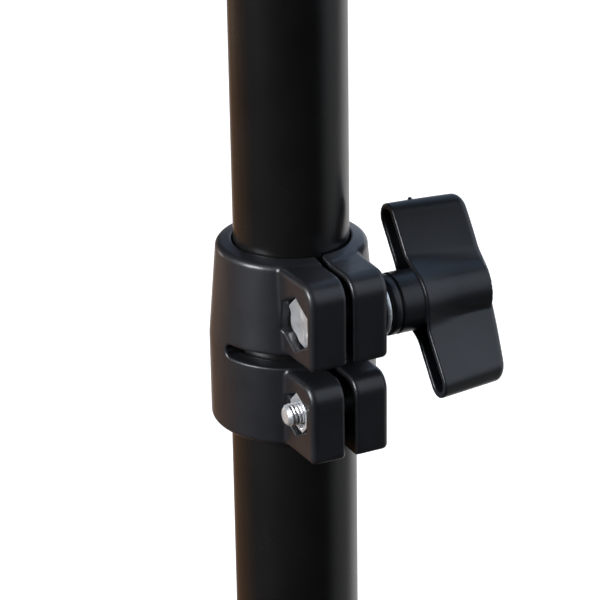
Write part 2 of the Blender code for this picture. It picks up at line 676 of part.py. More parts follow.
def make_thumb_screw(name, line, low, high):
    return place(rod(M6_R, low, high), name, zinc(), line)


def make_leg_knob(front):
    start = LEG_BOSS_END + GAP
    knob = make_thumb_knob("leg_lock_knob", front, start)
    hole = rod(M6_R + GAP, start - 5.0 * MM, start + THUMB_SCREW_HEAD + GAP)
    cut(knob, as_cutter(hole, "leg_lock_bore", front))
    screw = make_thumb_screw("leg_lock_screw", front, OUTER_TUBE_R + GAP, start + THUMB_SCREW_HEAD)
    return [knob, screw]


# ---- Head -----------------------------------------------------------------------------
def make_head():
    bore = INNER_TUBE_R + GAP
    profile = [(0.0, SOCKET_ROOF), (bore, SOCKET_ROOF), (bore, SOCKET_BOTTOM),
               (SOCKET_R - 1.0 * MM, SOCKET_BOTTOM), (SOCKET_R, SOCKET_BOTTOM + 1.0 * MM),
               (SOCKET_R, SOCKET_TOP - 2.0 * MM), (SOCKET_R - 2.0 * MM, SOCKET_TOP), (0.0, SOCKET_TOP)]
    socket = place(turned(profile[::-1], SLEEVE_STEPS), "head_socket", black_plastic(), Matrix())
    tilt_line = along((1.0, 0.0, 0.0), (0.0, 0.0, TILT_Z))
    width = TILT_EAR_R
    for side in (-1, 1):
        low_x, high_x = sorted((side * TILT_EAR_INNER, side * TILT_EAR_OUTER))
        ear = plate(rounded([(-width, SOCKET_TOP - 4.0 * MM, 0.0), (width, SOCKET_TOP - 4.0 * MM, 0.0),
                             (width, TILT_Z + width, width * 0.95),
                             (-width, TILT_Z + width, width * 0.95)], 5), low_x, high_x)
        upright = Matrix(((0, 0, 1, 0), (1, 0, 0, 0), (0, 1, 0, 0), (0, 0, 0, 1)))
        join(socket, as_cutter(ear, "tilt_ear_%d" % (side + 1), upright))
    cut(socket, as_cutter(rod(M6_R + GAP, -THROUGH, THROUGH), "tilt_hole", tilt_line))
    side_line = along((1.0, 0.0, 0.0), (0.0, 0.0, HEAD_SCREW_Z))
    boss = rod(BOSS_R, bore + 1.0 * MM, HEAD_BOSS_END, BOSS_STEPS)
    join(socket, as_cutter(boss, "head_boss", side_line))
    cut(socket, as_cutter(rod(M6_R + GAP, 5.0 * MM, HEAD_BOSS_END + 5.0 * MM), "head_screw_hole",
                          side_line))
    return socket, side_line, tilt_line


def make_head_knob(side_line):
    start = HEAD_BOSS_END + GAP
    knob = make_thumb_knob("head_lock_knob", side_line, start)
    hole = rod(M6_R + GAP, start - 5.0 * MM, start + THUMB_SCREW_HEAD + GAP)
    cut(knob, as_cutter(hole, "head_lock_bore", side_line))
    screw = make_thumb_screw("head_lock_screw", side_line, INNER_TUBE_R + GAP, start + THUMB_SCREW_HEAD)
    return [knob, screw]


def make_tilt_hardware(tilt_line):
    head = -TILT_EAR_OUTER - GAP
    bolt = place(rod(BOLT_HEAD_R, head - TILT_HEAD_H, head, HEX, HEX_UP), "tilt_bolt", zinc(), tilt_line)
    stem = rod(M6_R, head - TILT_HEAD_H / 2.0, TILT_KNOB_X + THUMB_SCREW_HEAD)
    join(bolt, as_cutter(stem, "tilt_bolt_stem", tilt_line))
    washer = hollow(WASHER_R, M6_R + GAP, TILT_EAR_OUTER + GAP, TILT_KNOB_X - GAP,
                    ROUND_STEPS)
    place(washer, "tilt_washer", zinc(), tilt_line)
    knob = make_thumb_knob("tilt_knob", tilt_line, TILT_KNOB_X)
    hole = rod(M6_R + GAP, TILT_KNOB_X - 5.0 * MM, TILT_KNOB_X + THUMB_SCREW_HEAD + GAP)
    cut(knob, as_cutter(hole, "tilt_knob_bore", tilt_line))
    return [bolt, washer], [knob]


# ---- Desk -----------------------------------------------------------------------------
def make_desk():
    """The desk in its own frame at the tilt bolt: local X across, Y backwards, Z up the desk."""
    frame = Matrix.Translation((0.0, 0.0, TILT_Z)) @ Matrix.Rotation(-DESK_LEAN, 4, "X")
    flat = frame @ Matrix(((1, 0, 0, 0), (0, 0, -1, 0), (0, 1, 0, 0), (0, 0, 0, 1)))
    half = DESK_WIDTH / 2.0
    sheet = plate(rounded([(-half, DESK_BOTTOM, 3.0 * MM), (half, DESK_BOTTOM, 3.0 * MM),
                           (half, DESK_TOP, DESK_CORNER), (-half, DESK_TOP, DESK_CORNER)], 6),
                  -DESK_BACK, -DESK_BACK + DESK_SHEET)
    panel = place(sheet, "desk_panel", black_paint(), flat)
    middle = (HOLE_COLUMNS - 1) / 2.0
    for row, height in enumerate(HOLE_ROWS):
        for column in range(HOLE_COLUMNS):
            hole = rod(HOLE_R, -DESK_BACK - 5.0 * MM, -DESK_BACK + 5.0 * MM, 10)
            spot = flat @ Matrix.Translation(((column - middle) * HOLE_PITCH, height, 0.0))
            cut(panel, as_cutter(hole, "desk_hole_%d_%d" % (row, column), spot))
    front = DESK_BACK - DESK_SHEET - GAP
    ledge = box((-half, front - DESK_SHEET, DESK_BOTTOM), (half, front, DESK_BOTTOM + LEDGE_BACK))
    ledge = place(ledge, "desk_ledge", black_paint(), frame)
    tray = box((-half, front - LEDGE_DEPTH, DESK_BOTTOM), (half, front, DESK_BOTTOM + DESK_SHEET))
    lip = box((-half, front - LEDGE_DEPTH, DESK_BOTTOM),
              (half, front - LEDGE_DEPTH + DESK_SHEET, DESK_BOTTOM + LEDGE_LIP))
    join(ledge, as_cutter(tray, "ledge_tray", frame), as_cutter(lip, "ledge_lip", frame))

    plate_front = DESK_BACK + GAP
    side = BRACKET_HALF
    base = plate(rounded([(-side, -side, 5.0 * MM), (side, -side, 5.0 * MM), (side, side, 5.0 * MM),
                          (-side, side, 5.0 * MM)], 3), -plate_front - BRACKET_PLATE, -plate_front)
    bracket = place(base, "desk_bracket", black_paint(), flat)
    reach = TILT_EAR_R - 1.5 * MM
    tongue = plate(rounded([(plate_front + 0.5 * MM, -reach, 0.0), (reach, -reach, reach * 0.95),
                            (reach, reach, reach * 0.95), (plate_front + 0.5 * MM, reach, 0.0)], 5),
                   -TONGUE_HALF, TONGUE_HALF)
    upright = frame @ Matrix(((0, 0, 1, 0), (1, 0, 0, 0), (0, 1, 0, 0), (0, 0, 0, 1)))
    join(bracket, as_cutter(tongue, "bracket_tongue", upright))
    cut(bracket, as_cutter(rod(M6_R + GAP, -THROUGH, THROUGH), "bracket_hole",
                           along((1.0, 0.0, 0.0), (0.0, 0.0, TILT_Z))))
    screws = []
    head = -DESK_BACK + DESK_SHEET + GAP
    for index, (x, z) in enumerate(((-1, -1), (1, -1), (1, 1), (-1, 1))):
        spot = flat @ Matrix.Translation((x * BRACKET_SCREW, z * BRACKET_SCREW, 0.0))
        drill = as_cutter(rod(DESK_SCREW_R + GAP, -DESK_BACK - 6.0 * MM, -DESK_BACK + 6.0 * MM, 12),
                          "desk_screw_hole_%d" % index, spot)
        cut(panel, drill)
        cut(bracket, drill)
        body = turned([(0.0, head + 1.8 * MM), (DESK_SCREW_HEAD_R * 0.6, head + 1.5 * MM),
                       (DESK_SCREW_HEAD_R, head + 0.4 * MM), (DESK_SCREW_HEAD_R, head),
                       (DESK_SCREW_R, head), (DESK_SCREW_R, -DESK_BACK - 5.0 * MM),
                       (0.0, -DESK_BACK - 5.0 * MM)], 10)
        screws.append(place(body, "desk_screw_%d" % (index + 1), zinc(), spot))
    return [panel, ledge, bracket] + screws


def build():
    inner_pieces = make_tubes()
    make_foot_hub()
    collar_pieces, front = make_leg_collar()
    pivot("leg_collar_slide", (0.0, 0.0, COLLAR_PIVOT_Z), collar_pieces)
    pivot("leg_lock_turn", front.translation, make_leg_knob(front))
    for name, angle in LEGS.items():
        pivot("leg_hinge_" + name, radial(angle, COLLAR_PIVOT_Z).translation, make_leg(name, angle))
        pivot("brace_hinge_" + name, radial(angle, HUB_PIVOT_Z).translation, make_brace(name, angle))
    make_clamp_collar()
    make_clamp_fasteners()
    pivot("wing_knob_turn", (0.0, -BOLT_REACH, UPPER_BOLT_Z), make_wing_knob())
    pivot("height_slide", (0.0, 0.0, INNER_TUBE_TOP), inner_pieces)
    socket, side_line, tilt_line = make_head()
    bolt_pieces, knob_pieces = make_tilt_hardware(tilt_line)
    pivot("head_swivel", (0.0, 0.0, TILT_Z), [socket] + bolt_pieces)
    pivot("head_lock_turn", side_line.translation, make_head_knob(side_line))
    pivot("tilt_knob_turn", tilt_line.translation, knob_pieces)
    pivot("desk_tilt", (0.0, 0.0, TILT_Z), make_desk())
    for obj in PARTS.objects:
        if obj.type == "MESH":
            shade(obj)


clear_scene()
PARTS = new_collection("music_stand")
CUTTERS = new_collection("cutters")
build()
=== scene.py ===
"""Looks of the music stand: refined meshes, procedural materials, soft studio light and the camera.

The clamp that the camera sees is rebuilt as smooth mouldings from distance fields, around the
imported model's own places and sizes. Lengths in the fields are in millimetres, as on a drawing;
everything that reaches the scene is in metres.
"""
import json
import math

import bmesh
import bpy
import numpy as np
from mathutils import Matrix, Vector


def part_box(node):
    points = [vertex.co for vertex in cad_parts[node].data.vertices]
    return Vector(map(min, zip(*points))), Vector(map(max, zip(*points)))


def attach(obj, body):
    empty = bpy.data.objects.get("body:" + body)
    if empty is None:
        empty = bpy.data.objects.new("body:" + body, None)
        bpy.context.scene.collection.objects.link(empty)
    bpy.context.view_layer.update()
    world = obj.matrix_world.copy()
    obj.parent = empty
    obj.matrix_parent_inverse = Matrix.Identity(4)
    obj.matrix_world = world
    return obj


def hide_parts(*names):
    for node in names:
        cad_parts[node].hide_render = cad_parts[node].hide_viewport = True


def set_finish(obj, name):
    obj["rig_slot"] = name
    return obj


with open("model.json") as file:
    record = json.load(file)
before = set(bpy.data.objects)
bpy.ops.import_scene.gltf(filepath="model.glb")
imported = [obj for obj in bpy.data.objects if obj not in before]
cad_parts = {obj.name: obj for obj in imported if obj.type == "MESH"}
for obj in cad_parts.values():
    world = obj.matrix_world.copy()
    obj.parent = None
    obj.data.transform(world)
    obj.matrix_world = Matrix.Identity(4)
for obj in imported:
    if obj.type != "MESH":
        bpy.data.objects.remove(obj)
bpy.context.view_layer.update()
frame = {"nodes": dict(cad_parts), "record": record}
MM = 0.001

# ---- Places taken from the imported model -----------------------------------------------
COLLAR_LOW, COLLAR_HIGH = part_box("clamp_collar")
BOLT_LOW, BOLT_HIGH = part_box("clamp_bolt")
SCREW_LOW, SCREW_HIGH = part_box("collar_screw")
NUT_LOW, NUT_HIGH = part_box("collar_nut")
WASHER_LOW, WASHER_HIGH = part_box("knob_washer")
COLLAR_TOP = COLLAR_HIGH.z
UPPER_BOLT = (BOLT_LOW + BOLT_HIGH) / 2.0
LOWER_BOLT = (SCREW_LOW + SCREW_HIGH) / 2.0


def millimetres(length):
    return length / MM


# ---- Clamp sizes, millimetres, from the collar's own frame ----------------------------
# x is along the bolts towards the knob, e is out along the ears (-Y), z is up from the collar's top.
OUTER_R = millimetres(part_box("outer_tube")[1].x)
INNER_R = millimetres(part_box("inner_tube")[1].x)
COLLAR_H = millimetres(COLLAR_HIGH.z - COLLAR_LOW.z)
COLLAR_R = millimetres(COLLAR_HIGH.x) + 0.2
COLLAR_TOP_R = 16.5
RIM_ROUND = 1.1
RIM_SLOPE = 0.2
BORE_GAP = 0.25
BORE_ROUND = 0.6
UPPER_H = 20.3
SLOT_H = 2.9
SLOT_ANGLE = math.radians(79.0)
SLOT_ROUND = 0.5
EAR_GAP = 3.7
EAR_HALF = 9.2
EAR_FROM = -8.0
EAR_END = -millimetres(COLLAR_LOW.y)
EAR_TOP = -0.9
EAR_ROUND = 1.3
EAR_BLEND = 0.5
EAR_DRAFT = 0.045
EAR_CORNERS_UPPER = (4.6, 1.3, 0.1, 0.1)
EAR_CORNERS_LOWER = (4.2, 1.3, 0.1, 0.1)
SPLIT_UPPER = 0.75
SPLIT_LOWER = 1.3
SPLIT_FROM = 4.0
SPLIT_ROUND = 0.7
BOLT_E = -millimetres(UPPER_BOLT.y)
UPPER_BOLT_Z = millimetres(UPPER_BOLT.z - COLLAR_TOP)
LOWER_BOLT_Z = millimetres(LOWER_BOLT.z - COLLAR_TOP)
UPPER_POCKET_R = 6.35
UPPER_POCKET_DEPTH = 5.2
UPPER_HOLE_R = 3.3
LOWER_POCKET_R = 5.15
LOWER_POCKET_DEPTH = 4.8
LOWER_HOLE_R = 2.8
POCKET_ROUND = 0.35
WASHER_SEAT_R = 7.4
WASHER_SEAT_ROUND = 0.3
SCREW_POCKET_R = 5.1
SCREW_POCKET_DEPTH = 3.7

# ---- Bolt, nut and screw, millimetres -------------------------------------------------
BOLT_R = 3.0
BOLT_FLATS = 10.0
BOLT_HEAD_H = 4.0
BOLT_TURN = math.radians(11.0)
BOLT_WAVE = 0.2
STEM_FROM = 3.5
STEM_CHAMFER = 0.5
STEM_TIP_R = 2.6
NUT_FLATS = 8.0
NUT_TURN = math.radians(14.0)
NUT_HOLE_R = 2.55
SCREW_R = 2.48
SCREW_CORE_R = 2.4
SCREW_PITCH = 0.8
SCREW_THREADED = 9.0
SCREW_HEAD_R = 4.6
SCREW_HEAD_H = 3.2
SCREW_RECESS_R = 1.6
WASHER_HOLE_R = 3.2
WASHER_ROUND = 0.3
TUBE_ROUND = 0.4
TUBE_BEVEL = 0.2
OUTER_WALL = 1.0
INNER_WALL = 1.2

# ---- Wing knob, millimetres, from the bolt's axis and the mast's axis ------------------
# Pairs give a value at the open rim and at the closed end.
KNOB_NECK_FROM = 11.0
KNOB_NECK_R = 6.75
KNOB_NECK_ROUND = 0.8
KNOB_GROOVE_AT = 2.2
KNOB_GROOVE_HALF = 0.25
KNOB_GROOVE_DEPTH = 0.35
KNOB_RIM = 18.95
KNOB_END = 36.2
KNOB_END_ROUND = 1.5
KNOB_CROWN = 1.0
KNOB_CROWN_AT = 20.0
KNOB_SPAN = 22.2
KNOB_SHIFT = -0.35
KNOB_WING_HALVES = (3.3, 4.0)
KNOB_WING_MIDDLES = (-0.2, 0.3)
KNOB_TWISTS = (math.radians(-4.0), math.radians(4.0))
KNOB_HUB_RADII = (7.2, 5.5)
KNOB_SHARP_BLENDS = (2.5, 0.8)
KNOB_SMOOTH_BLENDS = (3.0, 4.5)
KNOB_SIDE_WIDTH = 8.0
KNOB_DRAFT = 0.94
KNOB_WALL = 1.3
KNOB_FLOOR = 2.0
KNOB_TILT = math.radians(33.0)
KNOB_BURR = (21.5, -0.1, 24.8)
KNOB_BURR_R = 0.45
KNOB_BORE_R = 3.3
KNOB_BORE_END = 28.0

# ---- Thumb knobs, millimetres, from their near faces ----------------------------------
THUMB_R = 12.5
THUMB_H = 14.0
THUMB_ROUND = 1.6
THUMB_FOOT_R = 7.0
THUMB_FLARE = 1.5
THUMB_GRIPS = 6
THUMB_GRIP_R = 3.4
THUMB_GRIP_OUT = 1.6
THUMB_GRIP_ROUND = 1.2
THUMB_CAP_R = 7.2
THUMB_CAP_RING = 1.0
THUMB_CAP_DEPTH = 0.5
THUMB_BORE_R = 3.3
THUMB_BORE_END = 9.3

COLLAR_CELLS = (0.3, 0.6)
KNOB_CELLS = (0.28, 0.5)
THUMB_CELLS = (0.5, 0.9)
HEX_CELL = 0.16
THREAD_CELL = 0.12


def cell_size(cells):
    return cells[0]


# ---- Distance fields ------------------------------------------------------------------
def round_join(a, b, radius):
    """Union of two fields with a concave fillet."""
    corner = np.hypot(np.maximum(radius - a, 0.0), np.maximum(radius - b, 0.0))
    return np.maximum(radius, np.minimum(a, b)) - corner


def round_meet(a, b, radius):
    """Intersection of two fields with a rounded edge."""
    corner = np.hypot(np.maximum(radius + a, 0.0), np.maximum(radius + b, 0.0))
    return np.minimum(-radius, np.maximum(a, b)) + corner


def round_cut(a, b, radius):
    """Field a less field b, with a rounded edge."""
    return round_meet(a, -b, radius)


def rounded_rectangle(x, y, low, high, radii):
    """Field of a rectangle whose corners (+x+y, +x-y, -x+y, -x-y) have their own radii."""
    mx, my = (low[0] + high[0]) / 2.0, (low[1] + high[1]) / 2.0
    hx, hy = (high[0] - low[0]) / 2.0, (high[1] - low[1]) / 2.0
    px, py = x - mx, y - my
    right = np.where(py > 0.0, radii[0], radii[1])
    left = np.where(py > 0.0, radii[2], radii[3])
    radius = np.where(px > 0.0, right, left)
    qx, qy = np.abs(px) - hx + radius, np.abs(py) - hy + radius
    outside = np.hypot(np.maximum(qx, 0.0), np.maximum(qy, 0.0))
    return np.minimum(np.maximum(qx, qy), 0.0) + outside - radius


def hexagon(x, y, corner_radius):
    """Field of a hexagon with two corners on the y axis."""
    flat = corner_radius * math.sqrt(3.0) / 2.0
    slanted = np.abs(x) * 0.5 + np.abs(y) * (math.sqrt(3.0) / 2.0)
    return np.maximum(np.abs(x), slanted) - flat


def net(field, low, high, cell):
    """The surface where a field is zero, as vertices and quads, one vertex in each crossed cell."""
    axes = [np.arange(a, b + cell, cell) for a, b in zip(low, high)]
    grid = np.meshgrid(*axes, indexing="ij")
    value = field(*grid).astype(np.float32)
    inside = value < 0.0
    shape = value.shape
    cells = tuple(n - 1 for n in shape)
    count = np.zeros(cells, np.int16)
    total = np.zeros(cells + (3,), np.float32)
    for axis in range(3):
        others = [a for a in range(3) if a != axis]
        first = [slice(None)] * 3
        second = [slice(None)] * 3
        first[axis], second[axis] = slice(0, -1), slice(1, None)
        v0, v1 = value[tuple(first)], value[tuple(second)]
        crossed = (v0 < 0.0) != (v1 < 0.0)
        step = np.where(crossed, v0 / np.where(crossed, v0 - v1, 1.0), 0.0)
        for i in (0, 1):
            for j in (0, 1):
                part = [slice(None)] * 3
                part[others[0]] = slice(i, shape[others[0]] - 1 + i)
                part[others[1]] = slice(j, shape[others[1]] - 1 + j)
                hit = crossed[tuple(part)]
                count += hit
                total[..., axis] += step[tuple(part)]
                total[..., others[0]] += hit * i
                total[..., others[1]] += hit * j
    used = count > 0
    index = np.full(cells, -1, np.int64)
    index[used] = np.arange(int(used.sum()))
    where = np.argwhere(used)
    points = (where + total[used] / count[used][:, None]) * cell + np.array(low)
    quads = []
    for axis in range(3):
        others = [a for a in range(3) if a != axis]
        lower = [slice(1, -1)] * 3
        upper = [slice(1, -1)] * 3
        lower[axis], upper[axis] = slice(0, -1), slice(1, None)
        start = inside[tuple(lower)]
        end = inside[tuple(upper)]
        for flip, edges in ((False, start & ~end), (True, ~start & end)):
            spots = np.argwhere(edges)
            if not len(spots):
                continue
            base = spots.copy()
            base[:, others[0]] += 1
            base[:, others[1]] += 1
            ring = []
            for i, j in ((1, 1), (0, 1), (0, 0), (1, 0)):
                at = base.copy()
                at[:, others[0]] -= i
                at[:, others[1]] -= j
                ring.append(index[at[:, 0], at[:, 1], at[:, 2]])
            quad = np.stack(ring, axis=1)
            if flip != (axis == 1):
                quad = quad[:, ::-1]
            quads.append(quad)
    return points, np.concatenate(quads)


def settle(field, points, cell, rounds=4):
    """Moves points along the field's slope onto its zero surface."""
    small = cell * 0.05
    for _ in range(rounds):
        x, y, z = points.T
        value = field(x, y, z)
        slope = np.stack([(field(x + small, y, z) - field(x - small, y, z)) / (2.0 * small),
                          (field(x, y + small, z) - field(x, y - small, z)) / (2.0 * small),
                          (field(x, y, z + small) - field(x, y, z - small)) / (2.0 * small)], axis=1)
        length = np.maximum((slope ** 2).sum(axis=1), 0.25)
        move = -slope * (value / length)[:, None]
        points = points + np.clip(move, -0.5 * cell, 0.5 * cell)
    return points


def new_object(name, mesh, body, slot, *replaced):
    obj = bpy.data.objects.new(name, mesh)
    bpy.context.scene.collection.objects.link(obj)
    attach(obj, body)
    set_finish(obj, slot)
    if replaced:
        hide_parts(*replaced)
    return obj


def moulding(name, field, low, high, cell, place):
    """A mesh of a field given in millimetres, put in the scene by a matrix in metres."""
    points, quads = net(field, low, high, cell)
    points = settle(field, points, cell)
    mesh = bpy.data.meshes.new(name)
    mesh.from_pydata(points.tolist(), [], quads.tolist())
    mesh.transform(place @ Matrix.Scale(MM, 4))
    mesh.update()
    mesh.shade_smooth()
    return mesh


# ---- Turned parts and places on the bolts ---------------------------------------------
def lathe(name, profile, steps, place, ring=False, smooth_angle=35.0):
    """A turned mesh: (radius, height) points in millimetres, from the top down the outer side."""
    bm = bmesh.new()
    rows = []
    for radius, height in profile:
        if radius < 1e-6:
            rows.append([bm.verts.new((0.0, 0.0, height))])
            continue
        rows.append([bm.verts.new((radius * math.cos(2.0 * math.pi * i / steps),
                                   radius * math.sin(2.0 * math.pi * i / steps), height))
                     for i in range(steps)])
    pairs = list(zip(rows, rows[1:]))
    if ring:
        pairs.append((rows[-1], rows[0]))
    for upper, lower in pairs:
        for i in range(steps):
            j = (i + 1) % steps
            corner = [upper[i % len(upper)], lower[i % len(lower)], lower[j % len(lower)],
                      upper[j % len(upper)]]
            face = [v for k, v in enumerate(corner) if v not in corner[:k]]
            bm.faces.new(face)
    mesh = bpy.data.meshes.new(name)
    bm.to_mesh(mesh)
    bm.free()
    mesh.transform(place @ Matrix.Scale(MM, 4))
    mesh.shade_smooth()
    mesh.set_sharp_from_angle(angle=math.radians(smooth_angle))
    return mesh


def arc(centre, radius, start, end, steps=4):
    """Points of a round edge of a profile, angles in degrees from the outward direction."""
    turns = [math.radians(start + (end - start) * i / steps) for i in range(steps + 1)]
    return [(centre[0] + radius * math.cos(t), centre[1] + radius * math.sin(t)) for t in turns]


def bolt_line(axis, face):
    """The place of a part on a bolt's axis: x runs along the bolt from the given x, in metres."""
    return Matrix.Translation((face, axis.y, axis.z))


def turned_on_bolt(axis, face):
    """The place of a turned part whose z runs along a bolt from the given x, in metres."""
    return bolt_line(axis, face) @ Matrix.Rotation(math.pi / 2.0, 4, "Y")


# ---- Clamp collar ---------------------------------------------------------------------
def collar_field(x, y, z):
    e = -y
    across = np.hypot(x, y)
    gap_top = -UPPER_H
    gap_low = -UPPER_H - EAR_GAP
    slot_mid = (gap_top + gap_low) / 2.0
    is_upper = z > slot_mid
    lean = (COLLAR_R - COLLAR_TOP_R) / -slot_mid
    outer = COLLAR_R - np.clip(z - slot_mid, 0.0, None) * lean
    top = z + RIM_SLOPE * np.clip(across - INNER_R, 0.0, None)
    body = round_meet(across - outer, np.maximum(top, -COLLAR_H - z), RIM_ROUND)
    upper = rounded_rectangle(e, z, (EAR_FROM, gap_top), (EAR_END, EAR_TOP), EAR_CORNERS_UPPER)
    lower = rounded_rectangle(e, z, (EAR_FROM, -COLLAR_H), (EAR_END, gap_low), EAR_CORNERS_LOWER)
    width = np.abs(x) - EAR_HALF - EAR_DRAFT * (EAR_END - e)
    upper = round_meet(upper, width, EAR_ROUND)
    lower = round_meet(lower, width, EAR_ROUND)
    shape = round_join(body, np.minimum(upper, lower), EAR_BLEND)
    past = COLLAR_R * (np.abs(np.arctan2(x, e)) - SLOT_ANGLE) + SLOT_H / 2.0
    slot = np.hypot(np.maximum(past, 0.0), z - slot_mid) - SLOT_H / 2.0
    shape = round_cut(shape, slot, SLOT_ROUND)
    bore = across - np.where(is_upper, INNER_R, OUTER_R) - BORE_GAP
    shape = round_cut(shape, bore, BORE_ROUND)
    split = np.maximum(np.abs(x) - np.where(is_upper, SPLIT_UPPER, SPLIT_LOWER), SPLIT_FROM - e)
    shape = round_cut(shape, split, SPLIT_ROUND)
    from_upper = np.hypot(e - BOLT_E, z - UPPER_BOLT_Z)
    from_lower = np.hypot(e - BOLT_E, z - LOWER_BOLT_Z)
    pocket = hexagon(e - BOLT_E, z - UPPER_BOLT_Z, UPPER_POCKET_R)
    shape = round_cut(shape, np.maximum(pocket, x + EAR_HALF - UPPER_POCKET_DEPTH), POCKET_ROUND)
    shape = np.maximum(shape, UPPER_HOLE_R - from_upper)
    pocket = hexagon(e - BOLT_E, z - LOWER_BOLT_Z, LOWER_POCKET_R)
    shape = round_cut(shape, np.maximum(pocket, x + EAR_HALF - LOWER_POCKET_DEPTH), POCKET_ROUND)
    shape = np.maximum(shape, LOWER_HOLE_R - from_lower)
    seat = np.maximum(from_upper - WASHER_SEAT_R, EAR_HALF - x)
    shape = round_cut(shape, seat, WASHER_SEAT_ROUND)
    head = np.maximum(from_lower - SCREW_POCKET_R, EAR_HALF - SCREW_POCKET_DEPTH - x)
    return round_cut(shape, head, POCKET_ROUND)


def make_collar():
    low = (-COLLAR_R - 1.0, -EAR_END - 1.0, -COLLAR_H - 1.0)
    high = (COLLAR_R + 1.0, COLLAR_R + 1.0, 1.0)
    place = Matrix.Translation((0.0, 0.0, COLLAR_TOP))
    mesh = moulding("collar_moulding", collar_field, low, high, cell_size(COLLAR_CELLS), place)
    return new_object("collar_moulding", mesh, "mast", "black_plastic", "clamp_collar")


# ---- Wing knob ------------------------------------------------------------------------
def knob_outline(u, v, share):
    """Two wings on a round hub, from the open rim (share = 0) to the closed end (share = 1). They
    twist a little on the way, and the hub runs out smoothly into one side of each wing."""
    half, middle, hub_radius, twist, sharp, smooth = (
        at_rim + (at_end - at_rim) * share for at_rim, at_end in (
            KNOB_WING_HALVES, KNOB_WING_MIDDLES, KNOB_HUB_RADII, KNOB_TWISTS,
            KNOB_SHARP_BLENDS, KNOB_SMOOTH_BLENDS))
    hub = np.hypot(u, v) - hub_radius
    along = u * np.cos(twist) + v * np.sin(twist)
    across = v * np.cos(twist) - u * np.sin(twist)
    past = np.maximum(np.abs(along - KNOB_SHIFT) - (KNOB_SPAN - half), 0.0)
    wings = np.hypot(past, across - middle) - half
    side = np.tanh(along * across / KNOB_SIDE_WIDTH)
    return round_join(wings, hub, (smooth + sharp) / 2.0 + (smooth - sharp) / 2.0 * side)


def knob_field(u, v, w):
    """u is along the wings, v through them, w along the bolt's axis from the mast's axis."""
    share = np.clip((w - KNOB_RIM) / (KNOB_END - KNOB_RIM), 0.0, 1.2)
    size = 1.0 - (1.0 - KNOB_DRAFT) * share
    outline = knob_outline(u / size, v / size, share) * size
    end = w - KNOB_END + KNOB_CROWN * (u / KNOB_CROWN_AT) ** 2
    shell = round_meet(round_meet(outline, end, KNOB_END_ROUND), KNOB_RIM - w, 0.25)
    inside = np.maximum(outline + KNOB_WALL, w - KNOB_END + KNOB_FLOOR)
    shell = round_cut(shell, inside, 0.3)
    across = np.hypot(u, v)
    neck = round_meet(across - KNOB_NECK_R, KNOB_NECK_FROM - w, KNOB_NECK_ROUND)
    neck = np.maximum(neck, w - KNOB_END + KNOB_FLOOR / 2.0)
    groove = np.maximum(np.abs(w - KNOB_NECK_FROM - KNOB_GROOVE_AT) - KNOB_GROOVE_HALF,
                        KNOB_NECK_R - KNOB_GROOVE_DEPTH - across)
    shape = round_join(shell, round_cut(neck, groove, 0.15), 0.5)
    burr_u, burr_v, burr_w = KNOB_BURR
    burr = np.sqrt((u - burr_u) ** 2 + (v - burr_v) ** 2 + (w - burr_w) ** 2) - KNOB_BURR_R
    shape = round_join(shape, burr, 0.2)
    return round_cut(shape, np.maximum(across - KNOB_BORE_R, w - KNOB_BORE_END), 0.3)


def make_wing_knob():
    low = (-KNOB_SPAN - 1.0, -9.0, KNOB_NECK_FROM - 1.0)
    high = (KNOB_SPAN + 1.0, 9.0, KNOB_END + 1.5)
    axes = Matrix(((0, 0, 1, 0), (1, 0, 0, 0), (0, 1, 0, 0), (0, 0, 0, 1)))
    turned = axes @ Matrix.Rotation(math.pi / 2.0 - KNOB_TILT, 4, "Z")
    mesh = moulding("wing_knob_moulding", knob_field, low, high, cell_size(KNOB_CELLS),
                    bolt_line(UPPER_BOLT, 0.0) @ turned)
    return new_object("wing_knob_moulding", mesh, "wing_knob", "knob_plastic", "wing_knob")


# ---- Thumb knobs ----------------------------------------------------------------------
def thumb_field(u, v, w):
    """A round knob with finger hollows; w runs out along its screw, from its near face."""
    across = np.hypot(u, v)
    body = round_meet(across - THUMB_R, np.maximum(-w, w - THUMB_H), THUMB_ROUND)
    body = round_meet(body, (across - THUMB_FOOT_R - THUMB_FLARE * w) * 0.55, THUMB_ROUND / 2.0)
    sector = 2.0 * math.pi / THUMB_GRIPS
    turn = (np.arctan2(v, u) + sector / 2.0) % sector - sector / 2.0
    hollow = np.hypot(across * np.cos(turn) - THUMB_R - THUMB_GRIP_OUT, across * np.sin(turn))
    body = round_cut(body, hollow - THUMB_GRIP_R, THUMB_GRIP_ROUND)
    cap = np.maximum(across - THUMB_CAP_R, THUMB_H - THUMB_CAP_DEPTH - w)
    body = round_cut(body, np.maximum(cap, THUMB_CAP_R - THUMB_CAP_RING - across), 0.25)
    return round_cut(body, np.maximum(across - THUMB_BORE_R, w - THUMB_BORE_END), 0.2)


def make_thumb_knob(node, axis):
    low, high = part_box(node)
    line = Vector(axis)
    near_face = (low + high) / 2.0 - line * (THUMB_H * MM / 2.0)
    place = Matrix.Translation(near_face) @ line.to_track_quat("Z", "Y").to_matrix().to_4x4()
    reach = THUMB_R + 1.0
    mesh = moulding(node + "_moulding", thumb_field, (-reach, -reach, -1.0),
                    (reach, reach, THUMB_H + 1.0), cell_size(THUMB_CELLS), place)
    return new_object(node + "_moulding", mesh, node, "knob_plastic", node)


